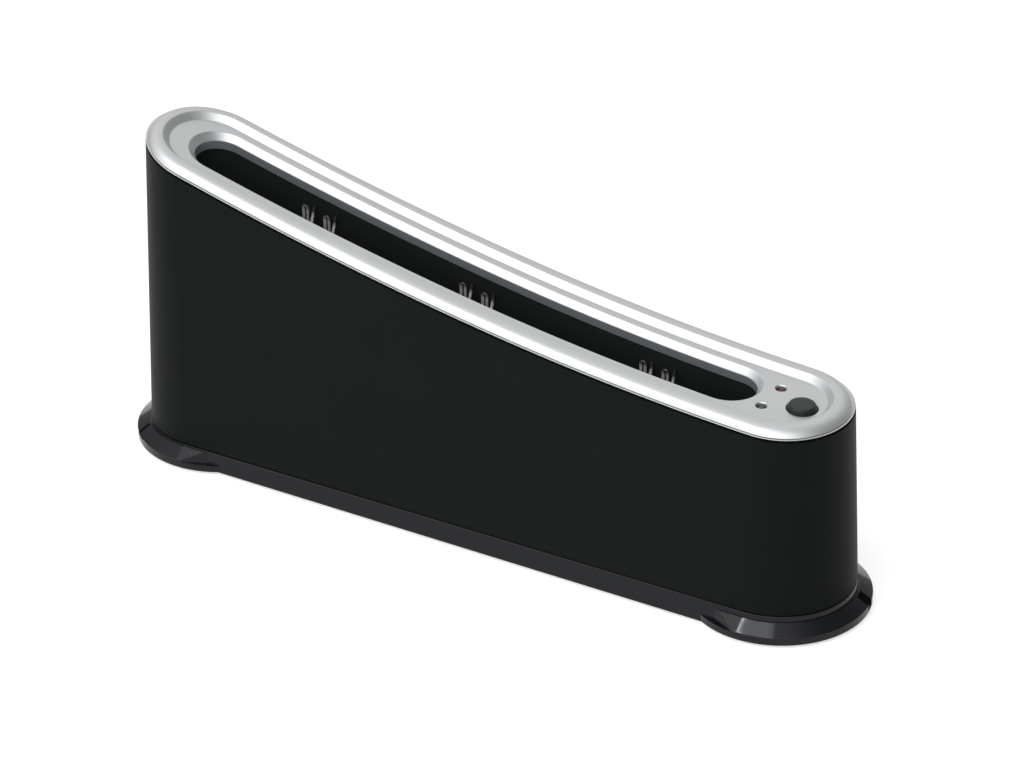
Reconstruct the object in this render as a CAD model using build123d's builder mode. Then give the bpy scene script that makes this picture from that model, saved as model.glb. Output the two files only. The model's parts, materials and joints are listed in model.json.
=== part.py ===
from build123d import *
import os
from math import asin, atan2, cos, degrees, hypot, radians, sin, sqrt, tan

# Thermal binding machine, in millimetres and degrees.
# X runs along the machine towards the controls, -Y is the front and Z is up.
# The origin is on the table, under the middle of the body.

# ---------------------------------------------------------------- driving sizes
# Body plan: two round ends joined by straight sides, leaning inwards as they rise
end_pitch = 330.0            # between the centres of the round ends
body_radius = 38.6           # outer radius of the round ends at the underside of the base
wall_draft = 1.63            # lean of the walls
shell_wall = 2.5

# Crown: the concave line where body and bezel meet, two arcs tangent at mid length
crown_height = 130.0         # above the table at mid length
crown_tilt = 9.72            # slope at mid length, falling towards the controls
crown_radius_left = 1897.0
crown_radius_right = 1370.0
reveal = 1.2                 # shadow gap under the bezel
reveal_depth = 1.3           # how far the gap is set back from the wall

# Base with its two flared feet
pad_proud = 1.5              # rubber pads lift the base off the table
base_height = 10.6           # to the seam, at mid length
base_flare = 1.7             # how far the straight sides spread towards the table
base_gap = 0.5               # parting gap between base and body
seam_tilt = 0.37             # the seam rises this much towards the controls
foot_radius = 46.0
foot_rim = 4.0               # upright rim of a foot
foot_ledge = 8.8             # top of a foot's slope, above its underside
ledge_width = 0.7            # flat ledge between that slope and the base's side
toe_length = 16.3            # a foot's straight toes reach this far in from the end centre
toe_facet = 2.0              # where the facet that ends a toe leaves the rim, from the end centre
toe_top = 13.0               # the same at the ledge
edge_round = 0.4             # small rounds on moulded edges
floor_thickness = 2.5
upstand_height = 19.5        # locating wall inside the body, from the underside of the base
upstand_wall = 1.8
fit_gap = 0.2                # clearance between moulded parts that slide together
notch_angle = 13.0           # cord notch across the right foot, from +X towards the rear
notch_width = 6.5
notch_depth = 2.4
notch_stop = 1.0             # the notch and the recess stop this far short of the body
recess_angle = 229.0         # shallow recess across the left foot
recess_width = 8.0
recess_depth = 0.8

# Bezel: raised rim, sunk plateau and sloped slot mouth, heights from the crown
rim_height = 4.5
rim_round = 7.5
rim_radius = 24.75           # inner edge of the rim
plateau_lift = 1.4
plateau_edge = 0.1           # upright edge left at the foot of the rim's slope
mouth_slope = 3.0            # width and height of the slope round the slot
bezel_skin = 2.0
bezel_skirt = 6.2            # depth of the skirt and of the slot wall below the crown
skirt_wall = 1.8
lip_step_low = 0.55          # fine step round the rim, above the crown
lip_step_high = 1.6
lip_step_inset = 1.5

# Slot that takes the spine of the document
slot_left = -159.6           # centre of the slot's left end
slot_right = 136.5
slot_radius = 14.0

# Chute: two half channels from the heater tray up to the bezel
chute_radius = 14.4
chute_wall = 1.6
chute_flange = 7.4
chute_flange_ends = 24.0     # the flanges stop this far short of the slot's end centres
flange_screw_inset = 6.0
lead_window = 12.0           # width and height of the lead opening at the chute's right end

# Heater stack on its steel tray
tray_top = 20.2              # top face of the tray floor
tray_sheet = 1.2
tray_half_width = 25.0
tray_lip = 8.0
tray_overhang = 2.0          # beyond the chute's ends
tray_screw_gap = 5.0         # tray screws from the chute's wall
tray_screw_reach = 8.2       # tray screws beyond the slot's end centres
pad_thickness = 5.2
pad_width = 26.0
pad_left = -150.0
pad_right = 103.0
element_thickness = 2.6
element_width = 22.0
element_left = -140.0
element_right = 100.0
plate_thickness = 6.0
plate_radius = 13.4
plate_chamfer = 0.8
standoff_inset = 5.0         # standoffs from the slot's end centres
standoff_radius = 4.0
stud_radius = 2.0
stud_length = 4.0
stud_proud = 1.2
nut_radius = 4.04
nut_height = 3.2
thermostat_x = 116.0
thermostat_radius = 7.8
thermostat_cap = 3.2
thermostat_rim = 1.0         # the cap stands out from the case
thermostat_tab = 4.0
fuse_x = -145.0
fuse_radius = 1.2
fuse_length = 12.0
lead_radius = 1.0
lead_spread = 10.0           # leads from the centreline beside the thermostat
lead_bends = (24.0, 24.0, 8.0)
lead_gap = 0.3               # below the terminal block

# Spring wire guides at three stations on the rear wall of the chute
guide_stations = {"left": -109.8, "middle": -16.3, "right": 87.8}
guide_wire_radius = 0.75
guide_pitch = 12.7           # between the two fingers of a station
guide_strands = (-3.4, -0.9, 3.3)
guide_drop = 14.5            # top of the fingers below the crown
guide_length = 34.0
guide_wall_gap = 0.35
guide_hole_gap = 0.15
guide_lean = 3.6             # how far the free strand stands forward
guide_bend = 1.1
guide_turn_rise = 6.0        # lower turn above the hole in the wall
guide_tip_length = 8.0       # tip of the free strand that leans back to the wall
guide_tip_rise = 1.5
guide_tail = 1.6             # wire past the bracket
bracket_sheet = 1.5
bracket_height = 12.0
bracket_margin = 9.0

# Screw posts between bezel and body
post_spots = (-150.0, -20.0, 110.0)
post_y = 24.5
post_radius = 3.5
post_drop = 16.0
lug_width = 12.0
lug_thickness = 4.0
lug_inner_y = 19.5

# Screws
screw_radius = 1.45
pilot_clearance = 0.05
clearance_radius = 1.7
screw_head_radius = 2.8
screw_head_height = 2.0
head_clearance = 0.4
base_screw_sink = 6.0        # heads sunk into the underside of the base
base_screw_length = 28.0
bezel_screw_length = 14.0
tray_screw_length = 14.0
chute_screw_length = 7.0
blind_end = 3.0              # left solid beyond a pilot hole
boss_radius = 4.5
boss_offset = 31.5           # boss centre from the end centre or the centreline
body_boss_height = 26.0

# Rubber pads
pad_radius = 7.0
pad_recess = 1.2
pad_round = 0.5
pad_spot = (172.0, 30.0)

# Underside vents
vent_length = 26.0
vent_width = 3.0
vent_pitch = 9.0
vent_count = 9

# Controls on the right end of the plateau
deck_x = 165.0
button_spot = (11.5, -2.0)   # from the deck origin
button_radius = 8.0
button_top_radius = 7.4
button_step = 0.3            # the cap is set in from its collar
button_taper = 12.0
button_collar = 0.4          # collar above the plateau
button_height = 2.5
button_round = 0.9
button_clearance = 0.3
button_travel = 2.0
button_flange = 1.3
button_flange_height = 1.5
stem_radius = 2.8
led_spots = {"power": (-6.1, 9.4), "ready": (-6.5, -9.8)}
led_radius = 2.5
led_clearance = 0.25
led_recess = 1.0
led_length = 8.6
led_flange = 0.5
led_chamfer = 0.35
board_drop = 18.4            # board face below the plateau
board_thickness = 1.6
board_left = -11.0
board_right = 25.0
board_half_width = 20.0
board_post_radius = 3.0
board_screw_radius = 1.2
board_screw_length = 8.0
board_screw_head = 2.2
component_round = 0.8
board_post_spots = ((-7.0, 16.6), (-7.0, -16.6), (22.0, 15.8), (22.0, -15.8))
switch_size = 9.0
switch_height = 8.4
switch_reserve = 0.8         # stem above the switch when pressed
plunger_size = 3.4
plunger_clearance = 0.3
plunger_depth = 3.0          # held inside the switch at rest
spring_radius = 3.7
spring_wire = 0.3
spring_turns = 4
relay_size = (15.0, 19.0, 15.5)
relay_spot = (12.5, 4.0)
capacitor_radius = 5.0
capacitor_length = 14.0
capacitor_spot = (9.0, -13.0)
terminal_size = (8.0, 22.0, 10.0)
terminal_spot = (-5.0, 0.0)

# Cord grommet in the rear wall
grommet_x = 150.0
grommet_z = 31.5
grommet_radius = 6.2
grommet_flange_radius = 8.5
grommet_flange = 2.0
grommet_bore = 4.0

# ---------------------------------------------------------------- derived places
base_low = pad_proud
seam_height = base_low + base_height
seat_height = base_low + upstand_height      # where body bosses stand on base bosses
floor_top = base_low + floor_thickness
rim_top = base_low + foot_rim
ledge_height = base_low + foot_ledge
tray_low = tray_top - tray_sheet
pad_top = tray_top + pad_thickness
plate_low = pad_top + element_thickness
plate_top = plate_low + plate_thickness
slot_middle = (slot_left + slot_right) / 2
slot_pitch = slot_right - slot_left
chute_outer = chute_radius + chute_wall
end_x = end_pitch / 2
reach = 235.0                                # tools run this far either side of the middle
height_limit = 205.0                         # above the highest point
tilt = radians(crown_tilt)
uphill = (-cos(tilt), sin(tilt))
downhill = (cos(tilt), -sin(tilt))


def wall_radius(z, inset=0.0):
    """Radius of the leaning wall at a height, or of a surface inside it."""
    return body_radius - inset - (z - base_low) * tan(radians(wall_draft))


def crown_point(lift):
    """Mid-length point of the line parallel to the crown, in X and Z."""
    return (lift * sin(tilt), crown_height + lift * cos(tilt))


def crown_arc(x, lift):
    """Centre and radius of the crown arc over x, offset by lift."""
    radius = crown_radius_left if x < crown_point(lift)[0] else crown_radius_right
    return radius * sin(tilt), crown_height + radius * cos(tilt), radius - lift


def crown_z(x, lift=0.0):
    """Height at x of the line parallel to the crown."""
    centre_x, centre_z, radius = crown_arc(x, lift)
    return centre_z - sqrt(radius**2 - (x - centre_x) ** 2)


def crown_slope(x, lift=0.0):
    """Slope angle at x of the line parallel to the crown."""
    centre_x, _, radius = crown_arc(x, lift)
    return degrees(asin((x - centre_x) / radius))


def drafted_block(low, high, inset=0.0):
    """Block with the leaning walls of the body, or parallel to them."""
    with BuildPart() as block:
        with BuildSketch(Plane.XY.offset(low)):
            SlotCenterToCenter(end_pitch, 2 * wall_radius(low, inset))
        extrude(amount=high - low, taper=wall_draft)
    return block.part


def seam_plane(lift):
    """Plane parallel to the seam between base and body."""
    slope = radians(seam_tilt)
    return Plane(origin=(0, 0, seam_height + lift), z_dir=(-sin(slope), 0, cos(slope)))


def slot_block(low, high, radius):
    """Upright block round the slot's two end centres."""
    with BuildPart() as block:
        with BuildSketch(Plane.XY.offset(low)):
            with Locations((slot_middle, 0)):
                SlotCenterToCenter(slot_pitch, 2 * radius)
        extrude(amount=high - low)
    return block.part


def crown_slab(low, high):
    """Band between two lines parallel to the crown, wider than the machine."""
    with BuildPart() as slab:
        with BuildSketch(Plane.XZ):
            with BuildLine():
                ends = []
                for lift in (low, high):
                    start = crown_point(lift)
                    left = JernArc(start, uphill, crown_radius_left - lift,
                                   -degrees(reach / crown_radius_left))
                    right = JernArc(start, downhill, crown_radius_right - lift,
                                    degrees(reach / crown_radius_right))
                    ends.append((left @ 1, right @ 1))
                Line(ends[0][0], ends[1][0])
                Line(ends[0][1], ends[1][1])
            make_face()
        extrude(amount=foot_radius, both=True)
    return slab.part


def ring_distance(edge, left, right):
    """Plan distance of an edge from the line between two end centres."""
    point = edge.position_at(0.37)
    return hypot(point.X - min(max(point.X, left), right), point.Y)


def upward_edges(choice):
    """Edges of the faces that look up along the crown."""
    return choice.filter_by(lambda face: face.normal_at().Z > 0.9).edges()


deep = crown_height                          # a slab that reaches below everything it cuts
rim_slope = rim_height - plateau_lift - plateau_edge
plateau_radius = rim_radius - rim_slope
edge_match = 0.02            # tolerance for picking edges by their radius
deck_slope = crown_slope(deck_x, plateau_lift)
deck = Plane(
    origin=(deck_x, 0, crown_z(deck_x, plateau_lift)),
    x_dir=(cos(radians(deck_slope)), 0, sin(radians(deck_slope))),
    z_dir=(-sin(radians(deck_slope)), 0, cos(radians(deck_slope))),
)
boss_reach = boss_offset / sqrt(2)
corner_bosses = [
    (side * (end_x + boss_reach), front * boss_reach) for side in (-1, 1) for front in (-1, 1)
]
boss_spots = corner_bosses + [(0, -boss_offset), (0, boss_offset)]
tray_screw_y = chute_outer + tray_screw_gap
tray_screw_xs = (slot_left - tray_screw_reach, slot_right + tray_screw_reach)
tray_screw_spots = [(x, side * tray_screw_y) for x in tray_screw_xs for side in (-1, 1)]
flange_screw_y = chute_outer + chute_flange / 2
flange_left = slot_left + chute_flange_ends
flange_right = slot_right - chute_flange_ends
flange_screw_xs = (flange_left + flange_screw_inset, slot_middle, flange_right - flange_screw_inset)
standoff_spots = [(slot_left + standoff_inset, 0), (slot_right - standoff_inset, 0)]
shaft_hole = screw_radius + pilot_clearance
lead_exit = terminal_size[1] / 8              # leads from the centreline, over two terminals
pad_spots = [(x, y) for x in (-pad_spot[0], pad_spot[0]) for y in (-pad_spot[1], pad_spot[1])]
lead_z = pad_top + element_thickness / 2
outer_wall = drafted_block(base_low, height_limit)

nodes = []


def keep(part, label):
    """Name a finished piece and remember it for export."""
    part.label = label
    nodes.append(part)


# ---------------------------------------------------------------- body shell
crown_cut = crown_slab(0, height_limit)
reveal_ring = drafted_block(base_low, height_limit, -foot_rim)
reveal_ring = reveal_ring - drafted_block(base_low, height_limit, reveal_depth)
reveal_ring = reveal_ring & crown_slab(-reveal, rim_round)

with BuildPart() as body_shell:
    add(outer_wall)
    split(bisect_by=seam_plane(base_gap / 2))
    fillet(faces().sort_by(Axis.Z)[0].edges(), edge_round)
    add(drafted_block(base_low, height_limit, shell_wall), mode=Mode.SUBTRACT)
    for x in post_spots:
        for side in (-1, 1):
            with Locations((x, side * lug_inner_y, crown_z(x) - post_drop)):
                Box(
                    lug_width,
                    wall_radius(crown_z(x), shell_wall / 2) - lug_inner_y,
                    lug_thickness,
                    align=(Align.CENTER, Align.MIN if side > 0 else Align.MAX, Align.MAX),
                )
    with BuildSketch(Plane.XY.offset(seat_height)):
        with Locations(*boss_spots):
            Circle(boss_radius)
    extrude(amount=body_boss_height)
    add(outer_wall, mode=Mode.INTERSECT)
    add(crown_cut, mode=Mode.SUBTRACT)
    add(reveal_ring, mode=Mode.SUBTRACT)
    with BuildSketch(Plane.XY.offset(seat_height)):
        with Locations(*boss_spots):
            Circle(shaft_hole)
    extrude(amount=body_boss_height - blind_end, mode=Mode.SUBTRACT)
    for x in post_spots:
        with Locations((x, post_y, crown_z(x) - post_drop), (x, -post_y, crown_z(x) - post_drop)):
            Cylinder(clearance_radius, 3 * lug_thickness, mode=Mode.SUBTRACT)
    with Locations(Location((grommet_x, wall_radius(grommet_z), grommet_z), (90, 0, 0))):
        Cylinder(grommet_radius + fit_gap, 4 * shell_wall, mode=Mode.SUBTRACT)
keep(body_shell.part, "body_shell")

# ---------------------------------------------------------------- top bezel
skirt_inset = reveal_depth + shell_wall / 2 + fit_gap
skirt_relief = drafted_block(base_low, height_limit, -foot_rim)
skirt_relief = skirt_relief - drafted_block(base_low, height_limit, skirt_inset)
skirt_relief = skirt_relief & crown_slab(-deep / 2, 0)
underside = drafted_block(base_low, height_limit, skirt_inset + skirt_wall)
underside = underside - slot_block(base_low, height_limit, slot_radius + skirt_wall)
underside = underside & crown_slab(-deep / 2, plateau_lift - bezel_skin)
lip_step = drafted_block(base_low, height_limit, -foot_rim)
lip_step = lip_step - drafted_block(base_low, height_limit, lip_step_inset)
lip_step = lip_step & crown_slab(lip_step_low, lip_step_high)

with BuildPart() as plateau_tool:
    with BuildSketch(Plane.XY.offset(base_low)):
        SlotCenterToCenter(end_pitch, 2 * plateau_radius)
    extrude(amount=height_limit)
    add(crown_slab(plateau_lift, 2 * rim_round), mode=Mode.INTERSECT)

with BuildPart() as top_bezel:
    add(outer_wall)
    add(crown_slab(-bezel_skirt, rim_height), mode=Mode.INTERSECT)
    fillet(upward_edges(faces()).filter_by(GeomType.LINE, reverse=True), rim_round)
    add(plateau_tool.part, mode=Mode.SUBTRACT)
    rim_edges = upward_edges(faces()).filter_by(
        lambda edge: abs(ring_distance(edge, -end_x, end_x) - plateau_radius) < edge_match
        and edge.center().Z > crown_z(edge.center().X, rim_height - edge_match)
    )
    chamfer(rim_edges, rim_slope)
    add(slot_block(base_low, height_limit, slot_radius), mode=Mode.SUBTRACT)
    mouth_edges = upward_edges(faces()).filter_by(
        lambda edge: abs(ring_distance(edge, slot_left, slot_right) - slot_radius) < edge_match
    )
    chamfer(mouth_edges, mouth_slope)
    for solid_tool in (skirt_relief, underside, lip_step):
        add(solid_tool, mode=Mode.SUBTRACT)
    for x in post_spots:
        with BuildSketch(Plane.XY.offset(crown_z(x) - post_drop)):
            with Locations((x, post_y), (x, -post_y)):
                Circle(post_radius)
        extrude(amount=post_drop)
    with BuildSketch(deck.offset(-bezel_skin / 2)):
        with Locations(*board_post_spots):
            Circle(board_post_radius)
    extrude(amount=bezel_skin / 2 - board_drop)
    for x in post_spots:
        with BuildSketch(Plane.XY.offset(crown_z(x) - post_drop)):
            with Locations((x, post_y), (x, -post_y)):
                Circle(shaft_hole)
        extrude(amount=post_drop - blind_end, mode=Mode.SUBTRACT)
    with BuildSketch(deck.offset(-board_drop)):
        with Locations(*board_post_spots):
            Circle(board_screw_radius + pilot_clearance)
    extrude(amount=board_screw_length, mode=Mode.SUBTRACT)
    with Locations(deck.location * Location((*button_spot, 0))):
        Cylinder(button_radius + button_clearance, 2 * rim_round, mode=Mode.SUBTRACT)
    for spot in led_spots.values():
        with Locations(deck.location * Location((*spot, 0))):
            CounterSinkHole(led_radius + led_clearance, led_radius + led_clearance + led_chamfer, rim_round)
keep(top_bezel.part, "top_bezel")

# ---------------------------------------------------------------- base with flared feet
base_reach = wall_radius(base_low) + base_flare
side_taper = degrees(atan2(base_reach - wall_radius(seam_height), base_height))


def side_radius(z):
    """Distance of the base's leaning side from the centreline at a height."""
    return base_reach - (z - base_low) * tan(radians(side_taper))


ledge_radius = side_radius(ledge_height) + ledge_width
foot_run = foot_radius - ledge_radius
foot_rise = ledge_height - rim_top
slope_length = hypot(foot_run, foot_rise)
foot_slope = atan2(foot_rise, foot_run)
toe_corners = (
    Vector(-toe_length, side_radius(rim_top), rim_top),
    Vector(-toe_top, ledge_radius, ledge_height),
    Vector(-toe_facet, sqrt(foot_radius**2 - toe_facet**2), rim_top),
)

with BuildPart() as toes:
    with BuildSketch(Plane.YZ):
        with BuildLine():
            Polyline(
                (0, base_low), (foot_radius, base_low), (foot_radius, rim_top),
                (ledge_radius, ledge_height), (0, ledge_height), close=True,
            )
        make_face()
        fillet(vertices().group_by(Axis.X)[-1].sort_by(Axis.Y)[-1], edge_round)
    extrude(amount=-toe_length)
    with BuildSketch(Plane.XY.offset(base_low)):
        Circle(foot_radius)
    extrude(amount=foot_ledge, mode=Mode.INTERSECT)
    facet_normal = (toe_corners[1] - toe_corners[0]).cross(toe_corners[2] - toe_corners[0])
    split(bisect_by=Plane(origin=toe_corners[0], z_dir=facet_normal), keep=Keep.BOTTOM)
    mirror(about=Plane.XZ)

with BuildPart() as foot:
    with BuildSketch(Plane.XZ):
        with BuildLine():
            Polyline(
                (0, base_low), (foot_radius, base_low), (foot_radius, rim_top),
                (ledge_radius, ledge_height), (0, ledge_height), close=True,
            )
        make_face()
        fillet(vertices().group_by(Axis.X)[-1].sort_by(Axis.Y)[-1], edge_round)
    revolve(axis=Axis.Z, revolution_arc=-90)
    mirror(about=Plane.XZ)
    add(toes.part)
    with BuildSketch(Plane.XY.offset(base_low)):
        Circle(foot_radius)
    extrude(amount=foot_rim - edge_round)

with BuildPart() as feet:
    with Locations((end_x, 0, 0)):
        add(foot.part)
    mirror(about=Plane.YZ)


def flare_plane(end, angle):
    """Plane on the slope of a foot at its rim: local X climbs the slope, Z leaves it."""
    out = (cos(radians(angle)), sin(radians(angle)))
    rise, run = sin(foot_slope), cos(foot_slope)
    return Plane(
        origin=(end + foot_radius * out[0], foot_radius * out[1], rim_top),
        x_dir=(-run * out[0], -run * out[1], rise),
        z_dir=(rise * out[0], rise * out[1], run),
    )


upstand_inset = shell_wall + fit_gap
with BuildPart() as base_bosses:
    with BuildSketch(Plane.XY.offset(base_low)):
        with Locations(*boss_spots):
            Circle(boss_radius)
    extrude(amount=upstand_height)
    add(drafted_block(base_low, height_limit, upstand_inset), mode=Mode.INTERSECT)

with BuildPart() as base_plinth:
    with BuildSketch(Plane.XY.offset(base_low)):
        SlotCenterToCenter(end_pitch, 2 * base_reach)
    extrude(amount=upstand_height, taper=side_taper)
    split(bisect_by=seam_plane(-base_gap / 2), keep=Keep.BOTTOM)
    fillet(faces().sort_by(Axis.Z)[-1].edges(), edge_round)
    add(feet.part)
    add(drafted_block(base_low, seat_height, upstand_inset))
    add(drafted_block(floor_top, height_limit, upstand_inset + upstand_wall), mode=Mode.SUBTRACT)
    add(base_bosses.part)
    with BuildSketch(Plane.XY.offset(base_low)):
        with Locations(*tray_screw_spots):
            Circle(boss_radius)
    extrude(amount=tray_low - base_low)
    with BuildSketch(Plane.XY.offset(tray_low)):
        with Locations(*tray_screw_spots):
            Circle(shaft_hole)
    extrude(amount=floor_top - tray_low, mode=Mode.SUBTRACT)
    with BuildSketch(Plane.XY.offset(base_low)):
        with Locations(*boss_spots):
            Circle(clearance_radius)
    extrude(amount=upstand_height, mode=Mode.SUBTRACT)
    with BuildSketch(Plane.XY.offset(base_low)):
        with Locations(*boss_spots):
            Circle(screw_head_radius + head_clearance)
    extrude(amount=base_screw_sink, mode=Mode.SUBTRACT)
    with BuildSketch(Plane.XY.offset(base_low)):
        with Locations(*pad_spots):
            Circle(pad_radius + fit_gap)
    extrude(amount=pad_recess, mode=Mode.SUBTRACT)
    with BuildSketch(Plane.XY.offset(base_low)):
        with GridLocations(vent_pitch, 0, vent_count, 1):
            SlotOverall(vent_length, vent_width, rotation=90)
    extrude(amount=floor_thickness, mode=Mode.SUBTRACT)
    for end, angle, width, depth in (
        (end_x, notch_angle, notch_width, notch_depth),
        (-end_x, recess_angle, recess_width, recess_depth),
    ):
        with BuildSketch(flare_plane(end, angle).offset(-depth)):
            with Locations(((slope_length - notch_stop) / 2 - foot_rim, 0)):
                Rectangle(slope_length - notch_stop + 2 * foot_rim, width)
        extrude(amount=2 * foot_rim, mode=Mode.SUBTRACT)
keep(base_plinth.part, "base_plinth")

with BuildPart() as rubber_feet:
    with BuildSketch(Plane.XY):
        with Locations(*pad_spots):
            Circle(pad_radius)
    extrude(amount=pad_proud + pad_recess)
    fillet(faces().group_by(Axis.Z)[0].edges(), pad_round)
keep(rubber_feet.part, "rubber_feet")

# ---------------------------------------------------------------- screws
def screw_group(spots, head_face, length, radius, head_radius, head_height, head_side):
    """Pan-head screws with their heads bearing on head_face; head_side is +1 above it, -1 below."""
    with BuildPart() as screws:
        with BuildSketch(Plane.XY.offset(head_face)):
            with Locations(*spots):
                Circle(head_radius)
        extrude(amount=head_side * head_height)
        chamfer(edges().group_by(Axis.Z)[-1 if head_side > 0 else 0], head_height / 4)
        with BuildSketch(Plane.XY.offset(head_face)):
            with Locations(*spots):
                Circle(radius)
        extrude(amount=-head_side * length)
    return screws.part


base_screws = screw_group(
    boss_spots, base_low + base_screw_sink, base_screw_length, screw_radius,
    screw_head_radius, screw_head_height, -1,
)
keep(base_screws, "base_screws")

with BuildPart() as bezel_screws:
    for x in post_spots:
        head_face = crown_z(x) - post_drop - lug_thickness
        spots = [(x, -post_y), (x, post_y)]
        add(screw_group(spots, head_face, bezel_screw_length, screw_radius,
                        screw_head_radius, screw_head_height, -1))
keep(bezel_screws.part, "bezel_screws")

tray_screws = screw_group(
    tray_screw_spots, tray_top, tray_screw_length, screw_radius,
    screw_head_radius, screw_head_height, 1,
)
keep(tray_screws, "tray_screws")

flange_screw_spots = [(x, side * flange_screw_y) for x in flange_screw_xs for side in (-1, 1)]
chute_screws = screw_group(
    flange_screw_spots, tray_top + chute_wall, chute_screw_length, screw_radius,
    screw_head_radius, screw_head_height, 1,
)
keep(chute_screws, "chute_screws")

# ---------------------------------------------------------------- heater tray
tray_left = slot_left - chute_outer - tray_overhang
tray_right = slot_right + chute_outer + tray_overhang
with BuildPart() as heater_tray:
    with BuildSketch(Plane.XY.offset(tray_low)):
        with Locations(((tray_left + tray_right) / 2, 0)):
            Rectangle(tray_right - tray_left, 2 * tray_half_width)
    extrude(amount=tray_sheet)
    for side in (-1, 1):
        with BuildSketch(Plane.XY.offset(tray_low)):
            with Locations(((tray_left + tray_right) / 2, side * (tray_half_width - tray_sheet / 2))):
                Rectangle(tray_right - tray_left, tray_sheet)
        extrude(amount=tray_lip)
    with BuildSketch(Plane.XY.offset(tray_low)):
        with Locations(*tray_screw_spots):
            Circle(clearance_radius)
        with Locations(*flange_screw_spots):
            Circle(shaft_hole)
        with Locations(*standoff_spots):
            Circle(stud_radius + fit_gap)
    extrude(amount=tray_sheet, mode=Mode.SUBTRACT)
keep(heater_tray.part, "heater_tray")

# ---------------------------------------------------------------- chute halves and wire guides
guide_y = chute_radius - guide_wall_gap - guide_wire_radius
fingers = [
    station_x + side * guide_pitch / 2 for station_x in guide_stations.values() for side in (-1, 1)
]
bracket_xs = [station_x + guide_strands[0] for station_x in guide_stations.values()]


def finger_foot(x):
    """Height at which a finger's wire passes through the chute wall."""
    return crown_z(x) - guide_drop - guide_length


def chute_half(side):
    """One half channel, on the +Y or -Y side of the slot's centreline."""
    with BuildPart() as half:
        add(slot_block(tray_top, height_limit, chute_outer))
        add(slot_block(base_low, height_limit, chute_radius), mode=Mode.SUBTRACT)
        with BuildSketch(Plane.XY.offset(tray_top)):
            with Locations((slot_middle, side * (chute_radius + chute_outer + chute_flange) / 2)):
                Rectangle(flange_right - flange_left, chute_wall + chute_flange)
        extrude(amount=chute_wall)
        add(crown_slab(-bezel_skirt - fit_gap, height_limit), mode=Mode.SUBTRACT)
        with Locations((slot_middle, -side * reach, 0)):
            Box(2 * reach, 2 * reach, 2 * height_limit, mode=Mode.SUBTRACT)
        with Locations((slot_right + chute_outer, 0, tray_top)):
            Box(lead_window, lead_window, 2 * lead_window, mode=Mode.SUBTRACT)
        with BuildSketch(Plane.XY.offset(tray_top)):
            with Locations(*[(x, side * flange_screw_y) for x in flange_screw_xs]):
                Circle(clearance_radius)
        extrude(amount=chute_wall, mode=Mode.SUBTRACT)
        if side > 0:
            for x in fingers:
                with Locations(Location((x + guide_strands[0], chute_outer, finger_foot(x)), (90, 0, 0))):
                    Cylinder(guide_wire_radius + guide_hole_gap, 4 * chute_wall, mode=Mode.SUBTRACT)
            for x in bracket_xs:
                with Locations(Location((x, chute_outer, finger_foot(x)), (90, 0, 0))):
                    Cylinder(shaft_hole, 4 * chute_wall, mode=Mode.SUBTRACT)
    return half.part


keep(chute_half(-1), "chute_front")
keep(chute_half(1), "chute_rear")


def finger_wire(x):
    """One sprung finger: up the wall, over, down, and a free strand that stands forward."""
    first, second, free = (x + strand for strand in guide_strands)
    top = crown_z(x) - guide_drop
    foot = finger_foot(x)
    turn = foot + guide_turn_rise
    front = guide_y - guide_lean
    with BuildPart() as wire:
        with BuildLine() as route:
            FilletPolyline(
                (first, chute_outer + bracket_sheet + guide_tail, foot),
                (first, guide_y, foot),
                (first, guide_y, top),
                (second, guide_y, top),
                (second, guide_y, turn),
                (free, front, turn),
                (free, front, top - guide_tip_length),
                (free, guide_y, top + guide_tip_rise),
                radius=(guide_bend, guide_bend, guide_bend, 2 * guide_bend, 2 * guide_bend, 4 * guide_bend),
            )
        with BuildSketch(Plane(origin=route.line @ 0, z_dir=route.line % 0)):
            Circle(guide_wire_radius)
        sweep()
    return wire.part


for name, station_x in guide_stations.items():
    with BuildPart() as guide:
        for side in (-1, 1):
            add(finger_wire(station_x + side * guide_pitch / 2))
    keep(guide.part, f"wire_guide_{name}")

with BuildPart() as guide_brackets:
    for x in bracket_xs:
        with Locations((x, chute_outer, finger_foot(x))):
            Box(guide_pitch + bracket_margin, bracket_sheet, bracket_height,
                align=(Align.CENTER, Align.MIN, Align.CENTER))
        with Locations(Location((x, chute_outer, finger_foot(x)), (90, 0, 0))):
            Cylinder(clearance_radius, 4 * bracket_sheet, mode=Mode.SUBTRACT)
    for x in fingers:
        with Locations(Location((x + guide_strands[0], chute_outer, finger_foot(x)), (90, 0, 0))):
            Cylinder(guide_wire_radius + pilot_clearance, 4 * bracket_sheet, mode=Mode.SUBTRACT)
keep(guide_brackets.part, "guide_brackets")

with BuildPart() as bracket_screws:
    for x in bracket_xs:
        seat = Plane(origin=(x, chute_outer + bracket_sheet, finger_foot(x)), z_dir=(0, 1, 0))
        with BuildSketch(seat):
            Circle(screw_head_radius)
        extrude(amount=screw_head_height)
        with BuildSketch(seat):
            Circle(screw_radius)
        extrude(amount=-bracket_sheet - chute_wall)
keep(bracket_screws.part, "bracket_screws")

# ---------------------------------------------------------------- heater stack
with BuildPart() as insulation_pad:
    with Locations(((pad_left + pad_right) / 2, 0, tray_top)):
        Box(pad_right - pad_left, pad_width, pad_thickness, align=(Align.CENTER, Align.CENTER, Align.MIN))
keep(insulation_pad.part, "insulation_pad")

with BuildPart() as heater_element:
    with Locations(((element_left + element_right) / 2, 0, pad_top)):
        Box(element_right - element_left, element_width, element_thickness,
            align=(Align.CENTER, Align.CENTER, Align.MIN))
    fillet(edges().filter_by(Axis.X), element_thickness / 4)
keep(heater_element.part, "heater_element")

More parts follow.
